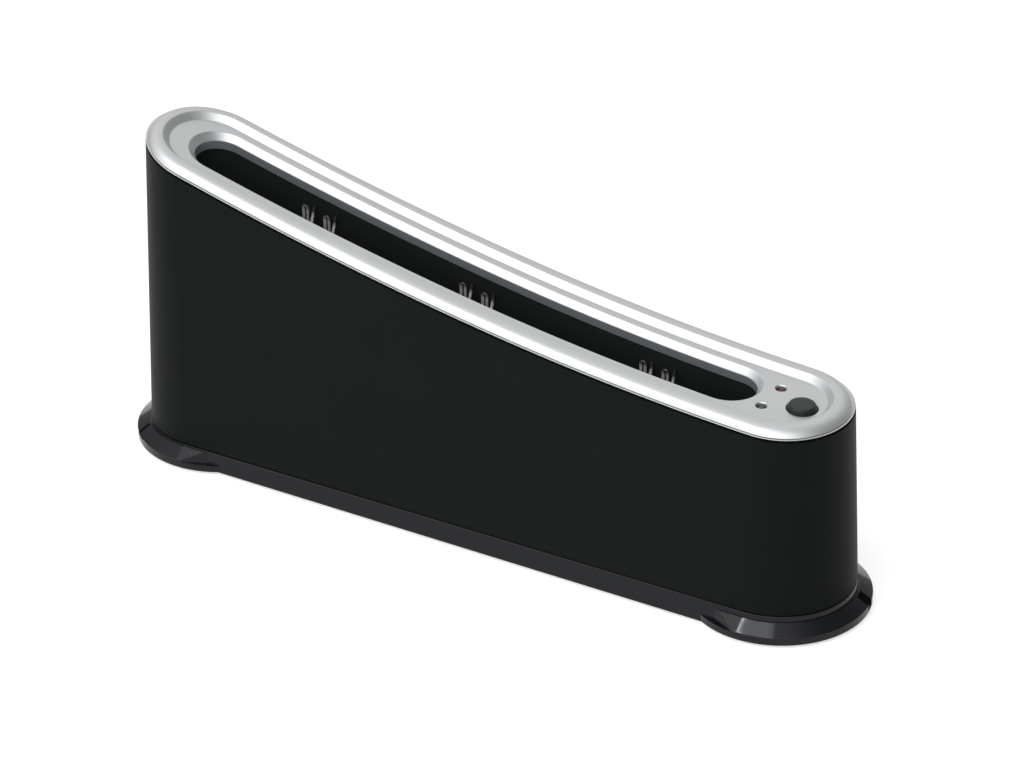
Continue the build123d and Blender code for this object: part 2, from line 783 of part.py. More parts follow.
with BuildPart() as heating_plate:
    add(slot_block(plate_low, plate_top, plate_radius))
    with BuildSketch(Plane.XY.offset(plate_low)):
        with Locations(*standoff_spots):
            Circle(stud_radius + pilot_clearance)
    extrude(amount=stud_length + fit_gap, mode=Mode.SUBTRACT)
    chamfer(faces().sort_by(Axis.Z)[-1].edges(), plate_chamfer)
keep(heating_plate.part, "heating_plate")

with BuildPart() as plate_standoffs:
    with BuildSketch(Plane.XY.offset(tray_top)):
        with Locations(*standoff_spots):
            Circle(standoff_radius)
    extrude(amount=plate_low - tray_top)
    with BuildSketch(Plane.XY.offset(tray_low - nut_height - stud_proud)):
        with Locations(*standoff_spots):
            Circle(stud_radius)
    extrude(amount=plate_low + stud_length - tray_low + nut_height + stud_proud)
keep(plate_standoffs.part, "plate_standoffs")

with BuildPart() as standoff_nuts:
    with BuildSketch(Plane.XY.offset(tray_low)):
        with Locations(*standoff_spots):
            RegularPolygon(nut_radius, 6)
            Circle(stud_radius + pilot_clearance, mode=Mode.SUBTRACT)
    extrude(amount=-nut_height)
keep(standoff_nuts.part, "standoff_nuts")

with BuildPart() as thermostat:
    with BuildSketch(Plane.XY.offset(tray_top)):
        with Locations((thermostat_x, 0)):
            Circle(thermostat_radius - thermostat_rim)
    extrude(amount=plate_low - tray_top)
    with BuildSketch(Plane.XY.offset(plate_low)):
        with Locations((thermostat_x, 0)):
            Circle(thermostat_radius)
    extrude(amount=-thermostat_cap)
    with Locations((thermostat_x, 0, tray_top + thermostat_cap / 2)):
        Box(2 * thermostat_radius + thermostat_tab, thermostat_tab, tray_sheet)
keep(thermostat.part, "thermostat")

with BuildPart() as thermal_fuse:
    with Locations(Location((fuse_x, 0, (pad_top + plate_low) / 2), (90, 0, 0))):
        Cylinder(fuse_radius, fuse_length)
        Cylinder(fuse_radius / 3, fuse_length + pad_thickness)
keep(thermal_fuse.part, "thermal_fuse")

# ---------------------------------------------------------------- controls
flange_top = -bezel_skin - button_clearance
flange_low = flange_top - button_flange_height
switch_top = -board_drop + switch_height
stem_low = switch_top + button_travel + switch_reserve


def deck_plane(spot, drop=0.0):
    """Plane parallel to the control deck at a spot, lifted by drop."""
    return Plane(deck.location * Location((*spot, drop)))


with BuildPart() as power_button:
    with BuildSketch(deck_plane(button_spot, flange_low)):
        Circle(button_radius + button_flange)
    extrude(amount=button_flange_height)
    with BuildSketch(deck_plane(button_spot, flange_top)):
        Circle(button_radius)
    extrude(amount=button_collar - flange_top)
    with BuildSketch(deck_plane(button_spot, button_collar)):
        Circle(button_top_radius + button_step)
    extrude(amount=button_height - button_collar, taper=button_taper)
    fillet(faces().sort_by(Axis.Z)[-1].edges(), button_round)
    with BuildSketch(deck_plane(button_spot, stem_low)):
        Circle(stem_radius)
    extrude(amount=flange_low - stem_low)
keep(power_button.part, "power_button")

with BuildPart() as switch_plunger:
    with BuildSketch(deck_plane(button_spot, switch_top - plunger_depth)):
        Rectangle(plunger_size, plunger_size)
    extrude(amount=stem_low - switch_top + plunger_depth)
keep(switch_plunger.part, "switch_plunger")

with BuildPart() as push_switch:
    with BuildSketch(deck_plane(button_spot, -board_drop)):
        Rectangle(switch_size, switch_size)
    extrude(amount=switch_height)
    with BuildSketch(deck_plane(button_spot, switch_top)):
        Rectangle(plunger_size + 2 * plunger_clearance, plunger_size + 2 * plunger_clearance)
    extrude(amount=-plunger_depth - button_travel - plunger_clearance, mode=Mode.SUBTRACT)
keep(push_switch.part, "push_switch")

spring_low = switch_top + spring_wire + pilot_clearance
spring_height = flange_low - switch_top - 2 * (spring_wire + pilot_clearance)
with BuildPart() as upright_spring:
    with BuildLine() as coil:
        Helix(spring_height / spring_turns, spring_height, spring_radius)
    with BuildSketch(Plane(origin=coil.line @ 0, z_dir=coil.line % 0)):
        Circle(spring_wire)
    sweep()
keep(deck_plane(button_spot, spring_low).location * upright_spring.part, "button_spring")

for name, spot in led_spots.items():
    with BuildPart() as led:
        with BuildSketch(deck_plane(spot, -led_recess - led_length)):
            Circle(led_radius + led_flange)
        extrude(amount=2 * led_flange)
        with BuildSketch(deck_plane(spot, -led_recess - led_length)):
            Circle(led_radius)
        extrude(amount=led_length)
        fillet(faces().sort_by(Axis.Z)[-1].edges(), led_radius - led_flange)
    keep(led.part, f"led_{name}")

with BuildPart() as led_spacers:
    for spot in led_spots.values():
        with BuildSketch(deck_plane(spot, -board_drop)):
            Circle(led_radius + led_flange)
            Circle(led_radius - led_flange, mode=Mode.SUBTRACT)
        extrude(amount=board_drop - led_recess - led_length)
keep(led_spacers.part, "led_spacers")

with BuildPart() as control_board:
    with BuildSketch(deck.offset(-board_drop)):
        with Locations(((board_left + board_right) / 2, 0)):
            RectangleRounded(board_right - board_left, 2 * board_half_width, board_thickness)
        with Locations(*board_post_spots):
            Circle(board_screw_radius + fit_gap, mode=Mode.SUBTRACT)
    extrude(amount=-board_thickness)
keep(control_board.part, "control_board")

board_low = -board_drop - board_thickness
with BuildPart() as board_screws:
    with BuildSketch(deck.offset(board_low)):
        with Locations(*board_post_spots):
            Circle(board_screw_head)
    extrude(amount=-board_screw_radius)
    with BuildSketch(deck.offset(board_low)):
        with Locations(*board_post_spots):
            Circle(board_screw_radius)
    extrude(amount=board_screw_length)
keep(board_screws.part, "board_screws")

with BuildPart() as relay:
    with BuildSketch(deck_plane(relay_spot, board_low)):
        Rectangle(relay_size[0], relay_size[1])
    extrude(amount=-relay_size[2])
    fillet(edges().filter_by(Axis.Y, tolerance=0.1), component_round)
keep(relay.part, "relay")

with BuildPart() as capacitor:
    with BuildSketch(deck_plane(capacitor_spot, board_low)):
        Circle(capacitor_radius)
    extrude(amount=-capacitor_length)
    fillet(faces().sort_by(Axis.Z)[0].edges(), component_round)
keep(capacitor.part, "capacitor")

with BuildPart() as terminal_block:
    with BuildSketch(deck_plane(terminal_spot, board_low)):
        Rectangle(terminal_size[0], terminal_size[1])
    extrude(amount=-terminal_size[2])
    with BuildSketch(deck_plane(terminal_spot, board_low - terminal_size[2] / 2)):
        with Locations((terminal_size[0] / 2, 0)):
            with GridLocations(0, terminal_size[1] / 4, 1, 4):
                Rectangle(terminal_size[0] / 2, terminal_size[1] / 8)
    extrude(amount=-terminal_size[2] / 4, mode=Mode.SUBTRACT)
keep(terminal_block.part, "terminal_block")

# ---------------------------------------------------------------- heater leads and cord grommet
lead_top = deck_plane(terminal_spot, board_low - terminal_size[2]).origin
with BuildPart() as heater_leads:
    for side in (-1, 1):
        with BuildLine() as route:
            FilletPolyline(
                (element_right, side * lead_spread, lead_z),
                (standoff_spots[1][0] - lead_spread / 2, side * lead_spread, lead_z),
                (slot_right + lead_exit, side * lead_exit, lead_z),
                (lead_top.X, side * lead_exit, lead_z),
                (lead_top.X, side * lead_exit, lead_top.Z - lead_gap),
                radius=lead_bends,
            )
        with BuildSketch(Plane(origin=route.line @ 0, z_dir=route.line % 0)):
            Circle(lead_radius)
        sweep()
keep(heater_leads.part, "heater_leads")

grommet_face = wall_radius(grommet_z - grommet_flange_radius) + pilot_clearance
grommet_back = wall_radius(grommet_z + grommet_flange_radius, shell_wall) - pilot_clearance
with BuildPart() as cord_grommet:
    with BuildSketch(Plane(origin=(grommet_x, grommet_face, grommet_z), z_dir=(0, 1, 0))):
        Circle(grommet_flange_radius)
    extrude(amount=grommet_flange)
    fillet(faces().sort_by(Axis.Y)[-1].edges(), grommet_flange / 2)
    with BuildSketch(Plane(origin=(grommet_x, grommet_back, grommet_z), z_dir=(0, 1, 0))):
        Circle(grommet_radius)
    extrude(amount=grommet_face - grommet_back)
    with BuildSketch(Plane(origin=(grommet_x, grommet_back, grommet_z), z_dir=(0, -1, 0))):
        Circle(grommet_flange_radius - grommet_flange / 2)
    extrude(amount=grommet_flange)
    with Locations(Location((grommet_x, grommet_face, grommet_z), (90, 0, 0))):
        Cylinder(grommet_bore, reach, mode=Mode.SUBTRACT)
keep(cord_grommet.part, "cord_grommet")

# ---------------------------------------------------------------- export
os.makedirs("parts", exist_ok=True)
for node in nodes:
    export_step(node, f"parts/{node.label}.step")
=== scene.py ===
import json
import math

import bmesh
import bpy
from mathutils import Matrix, Vector


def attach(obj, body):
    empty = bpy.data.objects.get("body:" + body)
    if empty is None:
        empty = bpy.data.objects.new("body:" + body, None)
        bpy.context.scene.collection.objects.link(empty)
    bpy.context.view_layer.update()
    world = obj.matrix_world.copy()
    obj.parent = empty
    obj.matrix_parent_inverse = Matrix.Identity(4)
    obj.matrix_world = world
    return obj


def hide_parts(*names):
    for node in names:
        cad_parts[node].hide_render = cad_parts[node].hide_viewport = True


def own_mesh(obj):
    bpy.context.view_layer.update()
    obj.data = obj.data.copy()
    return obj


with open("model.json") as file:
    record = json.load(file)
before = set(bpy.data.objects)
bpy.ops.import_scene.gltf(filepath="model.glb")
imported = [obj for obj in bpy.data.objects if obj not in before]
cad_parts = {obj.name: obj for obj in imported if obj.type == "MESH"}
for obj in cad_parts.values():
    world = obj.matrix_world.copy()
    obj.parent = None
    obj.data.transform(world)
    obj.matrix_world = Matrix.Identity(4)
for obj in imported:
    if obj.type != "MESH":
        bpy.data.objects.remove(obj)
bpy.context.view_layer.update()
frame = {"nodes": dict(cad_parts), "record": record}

HOUSING = "housing"
BUTTON = "button"
MM = 0.001

# ---------------------------------------------------------------- camera, in metres and radians
CAMERA_AZIMUTH = math.radians(31.457)
CAMERA_ELEVATION = math.radians(30.17)
CAMERA_ROLL = math.radians(-0.902)
CAMERA_TARGET = Vector((0.011249, 0.0, 0.078283))
CAMERA_DISTANCE = 2.5975
CAMERA_REACH = 50.0
CAMERA_LENS = 182.12         # in millimetres, like the sensor
SENSOR_WIDTH = 36.0


def make_camera():
    """The photograph's camera, from its angles round the object."""
    sin_a, cos_a = math.sin(CAMERA_AZIMUTH), math.cos(CAMERA_AZIMUTH)
    sin_e, cos_e = math.sin(CAMERA_ELEVATION), math.cos(CAMERA_ELEVATION)
    back = Vector((sin_a * cos_e, -cos_a * cos_e, sin_e))
    level = Vector((cos_a, sin_a, 0.0))
    upright = back.cross(level)
    right = level * math.cos(CAMERA_ROLL) + upright * math.sin(CAMERA_ROLL)
    up = upright * math.cos(CAMERA_ROLL) - level * math.sin(CAMERA_ROLL)
    data = bpy.data.cameras.new("camera")
    data.lens = CAMERA_LENS
    data.sensor_width = SENSOR_WIDTH
    data.clip_end = CAMERA_REACH
    camera = bpy.data.objects.new("camera", data)
    turn = Matrix((right, up, back)).transposed().to_4x4()
    camera.matrix_world = Matrix.Translation(CAMERA_TARGET + back * CAMERA_DISTANCE) @ turn
    bpy.context.scene.collection.objects.link(camera)
    bpy.context.scene.camera = camera


# ---------------------------------------------------------------- material helpers
NOISE_LOW = 0.3              # part of a noise's values that is spread over a look's range
NOISE_HIGH = 0.7
DRIFT_SCALE = 22.0           # of the slow drift in colour
DRIFT_DETAIL = 4.0
GRAIN_DETAIL = 2.0
GRAIN_DEPTH = 0.00002        # of the bump, in metres


def empty_material(name):
    """Node material with nothing but its output."""
    material = bpy.data.materials.new(name)
    material.use_nodes = True
    tree = material.node_tree
    tree.nodes.clear()
    return material, tree, tree.nodes.new("ShaderNodeOutputMaterial")


def add_noise(tree, scale, detail):
    """Noise in the object's own coordinates."""
    place = tree.nodes.new("ShaderNodeTexCoord")
    noise = tree.nodes.new("ShaderNodeTexNoise")
    noise.inputs["Scale"].default_value = scale
    noise.inputs["Detail"].default_value = detail
    tree.links.new(place.outputs["Object"], noise.inputs["Vector"])
    return noise.outputs["Fac"]


def spread(tree, source, low, high, start=NOISE_LOW, stop=NOISE_HIGH):
    """Maps a socket's values from start to stop onto a range from low to high."""
    remap = tree.nodes.new("ShaderNodeMapRange")
    remap.inputs["From Min"].default_value = start
    remap.inputs["From Max"].default_value = stop
    remap.inputs["To Min"].default_value = low
    remap.inputs["To Max"].default_value = high
    tree.links.new(source, remap.inputs["Value"])
    return remap.outputs["Result"]


def tint(tree, source, dark, light):
    """Colour ramp between two colours over a noise output."""
    ramp = tree.nodes.new("ShaderNodeValToRGB")
    ramp.color_ramp.elements[0].position = NOISE_LOW
    ramp.color_ramp.elements[1].position = NOISE_HIGH
    ramp.color_ramp.elements[0].color = (*dark, 1.0)
    ramp.color_ramp.elements[1].color = (*light, 1.0)
    tree.links.new(source, ramp.inputs["Fac"])
    return ramp.outputs["Color"]


def add_bump(tree, shader, source, strength):
    """Fine bump from a noise output."""
    bump = tree.nodes.new("ShaderNodeBump")
    bump.inputs["Strength"].default_value = strength
    bump.inputs["Distance"].default_value = GRAIN_DEPTH
    tree.links.new(source, bump.inputs["Height"])
    tree.links.new(bump.outputs["Normal"], shader.inputs["Normal"])


def math_node(tree, operation, first, second):
    """Math node on a socket and a number or a second socket."""
    node = tree.nodes.new("ShaderNodeMath")
    node.operation = operation
    tree.links.new(first, node.inputs[0])
    if isinstance(second, float):
        node.inputs[1].default_value = second
    else:
        tree.links.new(second, node.inputs[1])
    return node.outputs["Value"]


def dot_node(tree, source, direction):
    """Dot product of a vector socket and a direction."""
    node = tree.nodes.new("ShaderNodeVectorMath")
    node.operation = "DOT_PRODUCT"
    node.inputs[1].default_value = direction
    tree.links.new(source, node.inputs[0])
    return node.outputs["Value"]


def finish_material(name, colour, rough, metallic=0.0, specular=0.5, vary=0.06, rough_vary=0.04,
                    grain=1800.0, bump=0.1):
    """A moulded, painted or plated finish: colour drift, roughness drift and a fine grain."""
    material, tree, output = empty_material(name)
    shader = tree.nodes.new("ShaderNodeBsdfPrincipled")
    tree.links.new(shader.outputs["BSDF"], output.inputs["Surface"])
    shader.inputs["Metallic"].default_value = metallic
    shader.inputs["Specular IOR Level"].default_value = specular
    dark = [channel * (1.0 - vary) for channel in colour]
    light = [channel * (1.0 + vary) for channel in colour]
    drift = add_noise(tree, DRIFT_SCALE, DRIFT_DETAIL)
    tree.links.new(tint(tree, drift, dark, light), shader.inputs["Base Color"])
    fine = add_noise(tree, grain, GRAIN_DETAIL)
    roughness = spread(tree, fine, rough - rough_vary, rough + rough_vary)
    tree.links.new(roughness, shader.inputs["Roughness"])
    add_bump(tree, shader, fine, bump)
    return material


# ---------------------------------------------------------------- materials
FINISHES = {
    "body_black": dict(colour=(0.0056, 0.0067, 0.0063), rough=0.50, specular=0.05, grain=2600.0,
                       bump=0.20),
    "base_black": dict(colour=(0.0042, 0.0049, 0.0064), rough=0.08, specular=0.24,
                       rough_vary=0.01, grain=1500.0, bump=0.01),
    "silver": dict(colour=(0.50, 0.51, 0.515), rough=0.38, metallic=0.75, grain=5000.0, bump=0.08,
                   vary=0.015),
    # darker silver that paints the shade onto the slot's upright wall
    "silver_painted_shade": dict(colour=(0.33, 0.35, 0.38), rough=0.42, metallic=0.75, grain=5000.0,
                         bump=0.08, vary=0.015),
    "dark_grey": dict(colour=(0.012, 0.014, 0.015), rough=0.20, specular=0.24, rough_vary=0.02,
                      bump=0.02),
    "chute_black": dict(colour=(0.010, 0.012, 0.012), rough=0.60, specular=0.15),
    "rubber_black": dict(colour=(0.015, 0.015, 0.015), rough=0.75, specular=0.3),
    "steel_sheet": dict(colour=(0.56, 0.57, 0.58), rough=0.35, metallic=1.0),
    "plate_aluminium": dict(colour=(0.30, 0.30, 0.31), rough=0.45, metallic=1.0),
    "wire_steel": dict(colour=(0.74, 0.76, 0.77), rough=0.24, metallic=0.95),
    "screw_steel": dict(colour=(0.45, 0.45, 0.46), rough=0.35, metallic=1.0),
    "insulation": dict(colour=(0.78, 0.76, 0.70), rough=0.9),
    "element_film": dict(colour=(0.42, 0.20, 0.06), rough=0.4),
    "led_red": dict(colour=(0.085, 0.016, 0.016), rough=0.22, specular=0.4),
    "led_grey": dict(colour=(0.060, 0.060, 0.060), rough=0.22, specular=0.4),
    "board_green": dict(colour=(0.03, 0.14, 0.06), rough=0.35),
    "component_black": dict(colour=(0.02, 0.02, 0.02), rough=0.45),
    "component_grey": dict(colour=(0.35, 0.36, 0.37), rough=0.5),
    "lead_jacket": dict(colour=(0.60, 0.58, 0.55), rough=0.6),
    "spacer_nylon": dict(colour=(0.75, 0.74, 0.70), rough=0.5),
}
MATERIALS = {name: finish_material(name, **finish) for name, finish in FINISHES.items()}
CHUTE_WALLS = ("chute_front", "chute_rear")
WIRE_GUIDES = ("wire_guide_left", "wire_guide_middle", "wire_guide_right")
GUIDE_FINISH = dict(colour=(0.92, 0.93, 0.93), rough=0.32, metallic=0.70, bump=0.01)
BEND_SHADE_KEEP = 0.06             # share of its colour that the wire keeps round the upper bend, where shade is painted
BEND_START = 0.0052          # the fade starts and ends this far below the wire's top, in metres
BEND_END = 0.0026


def guide_tops(node):
    """Highest points of a guide's left and right wire."""
    points = [vertex.co for vertex in frame["nodes"][node].data.vertices]
    middle = (min(point.x for point in points) + max(point.x for point in points)) / 2
    left = [point for point in points if point.x < middle]
    right = [point for point in points if point.x >= middle]
    return [max(side, key=lambda point: point.z) for side in (left, right)]


def guide_material(node):
    """Bright spring wire, with painted shade darkening its colour round its upper bend."""
    material = finish_material(node, **GUIDE_FINISH)
    tree = material.node_tree
    base = tree.nodes["Principled BSDF"].inputs["Base Color"]
    plain = base.links[0].from_socket
    left, right = guide_tops(node)
    tilt = (right.z - left.z) / (right.x - left.x)
    top = left.z - tilt * left.x
    place = tree.nodes.new("ShaderNodeTexCoord")
    level = dot_node(tree, place.outputs["Object"], (-tilt, 0.0, 1.0))
    # painted shade: the colour falls to a small share near the top of each wire
    kept = spread(tree, level, 1.0, BEND_SHADE_KEEP, top - BEND_START, top - BEND_END)
    fade = tree.nodes.new("ShaderNodeVectorMath")
    fade.operation = "SCALE"
    tree.links.new(plain, fade.inputs["Vector"])
    tree.links.new(kept, fade.inputs["Scale"])
    tree.links.new(fade.outputs["Vector"], base)
    return material


def dress_cad_nodes():
    """Every CAD node gets its slot's material, but for the chute's walls and the wire guides."""
    slots = {row["node"]: row["material_slot"] for row in frame["record"]["subparts"]}
    for node, item in frame["nodes"].items():
        if node in WIRE_GUIDES:
            material = guide_material(node)
        elif node in CHUTE_WALLS:
            material = MATERIALS["chute_black"]
        else:
            material = MATERIALS[slots[node]]
        item.data.materials.clear()
        item.data.materials.append(material)


# ---------------------------------------------------------------- shape of the body, in millimetres
END_X = 165.0                # of the round ends' centres
WALL_RADIUS = 38.6           # of the round ends, at the foot of the wall
WALL_FOOT = 1.5
WALL_LEAN = math.tan(math.radians(1.63))
CROWN_HEIGHT = 130.0         # of the line where body and bezel meet, at mid length
CROWN_TILT = math.radians(9.72)
CROWN_LEFT = 1897.0          # radius of that line's two arcs
CROWN_RIGHT = 1370.0
SLOT_LEFT = -158.9           # of the slot's end centres
SLOT_RIGHT = 135.0
SLOT_RADIUS = 14.0
PLATEAU = 1.4                # lift of the sunk face and the deck over the crown's line
DECK_X = 165.0               # where the deck's own placement starts
SETTLE_ROUNDS = 4            # enough for plan place and height of a wall point to agree
SHARP_ANGLE = math.radians(35.0)


def crown_arc(x, lift):
    """Centre and radius of the crown's arc over x, offset by lift."""
    radius = CROWN_LEFT if x < lift * math.sin(CROWN_TILT) else CROWN_RIGHT
    centre_z = CROWN_HEIGHT + radius * math.cos(CROWN_TILT)
    return radius * math.sin(CROWN_TILT), centre_z, radius - lift


def crown_z(x, lift=0.0):
    """Height at x of the line parallel to the crown."""
    centre_x, centre_z, radius = crown_arc(x, lift)
    return centre_z - math.sqrt(radius**2 - (x - centre_x) ** 2)


def deck_place(spot):
    """Placement in metres on the control deck: local Z leaves the deck."""
    centre_x, _, radius = crown_arc(DECK_X, PLATEAU)
    slope = math.asin((DECK_X - centre_x) / radius)
    along = Vector((math.cos(slope), 0.0, math.sin(slope)))
    across = Vector((0.0, 1.0, 0.0))
    away = Vector((-math.sin(slope), 0.0, math.cos(slope)))
    origin = Vector((DECK_X, 0.0, crown_z(DECK_X, PLATEAU))) + along * spot[0] + across * spot[1]
    turn = Matrix((along, across, away)).transposed().to_4x4()
    return Matrix.Translation(origin * MM) @ turn


# ---------------------------------------------------------------- mesh helpers
def smooth(mesh):
    """Smooth shading between the sharp edges."""
    mesh.polygons.foreach_set("use_smooth", [True] * len(mesh.polygons))
    mesh.set_sharp_from_angle(angle=SHARP_ANGLE)


def mesh_from(shape, name):
    """Mesh of a closed bmesh, its faces turned outwards."""
    bmesh.ops.recalc_face_normals(shape, faces=shape.faces)
    mesh = bpy.data.meshes.new(name)
    shape.to_mesh(mesh)
    shape.free()
    return mesh


def show(mesh):
    """Object for a mesh, with the mesh's name."""
    smooth(mesh)
    piece = bpy.data.objects.new(mesh.name, mesh)
    bpy.context.scene.collection.objects.link(piece)
    return piece


def finished(piece, body, slot, *nodes):
    """A piece rides on its body, takes a slot's material and stands for CAD nodes."""
    piece.data.materials.clear()
    piece.data.materials.append(MATERIALS[slot])
    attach(piece, body)
    if nodes:
        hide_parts(*nodes)
    return piece


def bridge(shape, rings):
    """Faces from each ring of vertices to the next; a ring of one vertex is a tip."""
    for low, high in zip(rings, rings[1:]):
        steps = max(len(low), len(high))
        for k in range(steps):
            following = (k + 1) % steps
            corners = (
                low[k % len(low)], low[following % len(low)],
                high[following % len(high)], high[k % len(high)],
            )
            shape.faces.new(list(dict.fromkeys(corners)))


def round_point(radius, angle, height):
    """Point on a circle round local Z, in metres from millimetres."""
    return Vector((radius * math.cos(angle), radius * math.sin(angle), height)) * MM


def turn_profile(shape, profile, place, steps):
    """Adds a closed turned form: (radius, height) points in millimetres, on a placement."""
    rings = []
    for radius, height in profile:
        count = steps if radius > 0.0 else 1
        angles = [math.tau * k / steps for k in range(count)]
        rings.append([shape.verts.new(place @ round_point(radius, a, height)) for a in angles])
    bridge(shape, rings)


def turned(name, profile, place, steps):
    """Object turned from a profile."""
    shape = bmesh.new()
    turn_profile(shape, profile, place, steps)
    return show(mesh_from(shape, name))


def arc(centre, radius, start, stop, steps):
    """Profile points on an arc, angles in degrees."""
    angles = [math.radians(start + (stop - start) * k / steps) for k in range(steps + 1)]
    return [(centre[0] + radius * math.cos(a), centre[1] + radius * math.sin(a)) for a in angles]


def cut_away(piece, cutters):
    """Subtracts the cutters from a piece and removes them."""
    for cutter in cutters:
        modifier = piece.modifiers.new("cut", "BOOLEAN")
        modifier.operation = "DIFFERENCE"
        modifier.solver = "EXACT"
        modifier.object = cutter
    bpy.context.view_layer.update()
    ready = piece.evaluated_get(bpy.context.evaluated_depsgraph_get())
    mesh = bpy.data.meshes.new_from_object(ready)
    piece.modifiers.clear()
    piece.data = mesh
    for cutter in cutters:
        bpy.data.objects.remove(cutter)
    smooth(mesh)


# ---------------------------------------------------------------- bezel moulding, in millimetres
END_STEPS = 56
SIDE_STEPS = 84
BLEND_STEPS = 10             # rows across the sunk face
UNDER_STEPS = 4              # rows across the underside
TOP_SOFT = 175.4             # above this height the rim is eased down, by the square of the excess
TOP_EASE = 0.084
UNDERSIDE = -0.6             # lifts of the skin's lower face and of the skirt's edge
SKIRT_EDGE = -6.2

# The closed section, as (inset from the leaning wall, lift) in LIP, the rim's arc and SKIRT.
LIP = (
    (2.75, 0.0), (0.90, 0.0), (0.28, 0.20), (0.16, 0.29), (0.20, 0.38), (0.36, 0.44),
    (2.10, 0.46), (2.10, 0.80), (1.15, 0.82),
)
RIM_CENTRE = (7.5, -3.0)
RIM_ROUND = 7.5
RIM_SWEEP = (149.2, 90.0)    # angles of the rim's arc, from the lip to its top
RIM_STEPS = 15
RIM_TOP = RIM_CENTRE[1] + RIM_ROUND
SKIRT = ((4.55, UNDERSIDE), (4.55, SKIRT_EDGE), (2.75, SKIRT_EDGE))

# The rim's inner slope, as (radius round the body's end centres, lift).
RIM_SLOPE = (
    (26.2, RIM_TOP), (25.45, RIM_TOP), (25.25, RIM_TOP), (25.02, 4.478), (24.79, 4.409),
    (24.58, 4.297), (24.40, 4.15), (24.25, 4.00), (22.10, 1.85), (21.95, 1.70), (21.78, 1.56),
    (21.58, 1.45), (21.30, PLATEAU), (21.10, PLATEAU),
)

# The slot's sloped mouth and upright wall, as (radius round the slot's end centres, lift).
MOUTH_WALL = 1.8             # thickness of the upright wall
MOUTH_OUTER = SLOT_RADIUS + MOUTH_WALL
MOUTH = (
    (17.45, PLATEAU), (17.25, PLATEAU), (17.08, 1.36), (16.92, 1.26), (16.82, 1.16),
    (14.32, -1.34), (14.20, -1.46), (14.08, -1.62), (SLOT_RADIUS, -1.90), (SLOT_RADIUS, -2.10),
    (SLOT_RADIUS, SKIRT_EDGE), (MOUTH_OUTER, SKIRT_EDGE), (MOUTH_OUTER, UNDERSIDE),
)


def ring_stations():
    """Places round a stadium: share of the way along its sides, and direction from its axis."""
    turn = [math.pi * (k / END_STEPS - 0.5) for k in range(END_STEPS)]
    run = [1.0 - 2.0 * k / SIDE_STEPS for k in range(SIDE_STEPS)]
    right = [(1.0, angle) for angle in turn]
    rear = [(share, math.pi / 2) for share in run]
    left = [(-1.0, angle + math.pi) for angle in turn]
    front = [(-share, -math.pi / 2) for share in run]
    return right + rear + left + front


def wall_point(station, inset, lift):
    """Plan point on a line set in from the leaning wall."""
    share, angle = station
    z = CROWN_HEIGHT
    for _ in range(SETTLE_ROUNDS):
        radius = WALL_RADIUS - inset - (z - WALL_FOOT) * WALL_LEAN
        x = END_X * share + radius * math.cos(angle)
        z = crown_z(x, lift)
    return x, radius * math.sin(angle)


def rim_point(station, radius, _lift):
    """Plan point at a radius round the body's end centres."""
    share, angle = station
    return END_X * share + radius * math.cos(angle), radius * math.sin(angle)


def slot_point(station, radius, _lift):
    """Plan point at a radius round the slot's end centres."""
    share, angle = station
    centre = (SLOT_LEFT + SLOT_RIGHT) / 2 + share * (SLOT_RIGHT - SLOT_LEFT) / 2
    return centre + radius * math.cos(angle), radius * math.sin(angle)


def plain_rows(edge, profile):
    """Rows that each follow one plan edge."""
    return [((edge, size), None, 0.0, lift) for size, lift in profile]


def blended_rows(first, second, steps, lift):
    """Rows between two plan edges, both left out."""
    return [(first, second, k / steps, lift) for k in range(1, steps)]


def bezel_rows():
    """Rows of the closed section: two plan edges, the mix between them, and the lift."""
    rows = plain_rows(wall_point, LIP)
    rows += plain_rows(wall_point, arc(RIM_CENTRE, RIM_ROUND, *RIM_SWEEP, RIM_STEPS))
    rows += plain_rows(rim_point, RIM_SLOPE)
    slope_foot = (rim_point, RIM_SLOPE[-1][0])
    rows += blended_rows(slope_foot, (slot_point, MOUTH[0][0]), BLEND_STEPS, PLATEAU)
    rows += plain_rows(slot_point, MOUTH)
    mouth_back = (slot_point, MOUTH[-1][0])
    rows += blended_rows(mouth_back, (wall_point, SKIRT[0][0]), UNDER_STEPS, UNDERSIDE)
    rows += plain_rows(wall_point, SKIRT)
    return rows


def row_vertex(row, station):
    """Point of one row at one station, in metres."""
    first, second, mix, lift = row
    x, y = first[0](station, first[1], lift)
    if second:
        far_x, far_y = second[0](station, second[1], lift)
        x, y = x + (far_x - x) * mix, y + (far_y - y) * mix
    z = crown_z(x, lift)
    z -= TOP_EASE * max(z - TOP_SOFT, 0.0) ** 2
    return Vector((x, y, z)) * MM


def swept_bezel():
    """The closed section, swept once round."""
    stations = ring_stations()
    shape = bmesh.new()
    rings = []
    for row in bezel_rows():
        rings.append([shape.verts.new(row_vertex(row, station)) for station in stations])
    bridge(shape, rings + rings[:1])
    return mesh_from(shape, "bezel_moulding")


BUTTON_SPOT = (11.2, -1.2)   # places on the deck, along and across
POWER_SPOT = (-6.1, 9.4)
READY_SPOT = (-6.5, -9.8)
BUTTON_HOLE = {"bore": 7.8, "mouth": 8.4, "bevel_low": -0.30, "bevel_high": 0.30}
LAMP_HOLE = {"bore": 2.75, "mouth": 3.4, "bevel_low": -0.45, "bevel_high": 0.20}
CUT_LOW = -5.0               # the cutters' ends, clear of the skin on both sides
CUT_HIGH = 2.0
BUTTON_TURN = 96             # steps round the button and its hole, and round a lamp and its hole
LAMP_TURN = 48
POST_TURN = 32
# Heights from the crown's line for the body's posts, and from the deck for the board's.
BODY_POST = {"bore": 1.5, "radius": 3.5, "top": 0.3, "roof": -3.0, "foot": -16.0}
BOARD_POST = {"bore": 1.25, "radius": 3.0, "top": -1.0, "roof": -10.4, "foot": -18.4}
POST_XS = (-150.0, -20.0, 110.0)
POST_Y = 24.5
BOARD_SPOTS = ((-7.0, 16.6), (-7.0, -16.6), (22.0, 15.8), (22.0, -15.8))


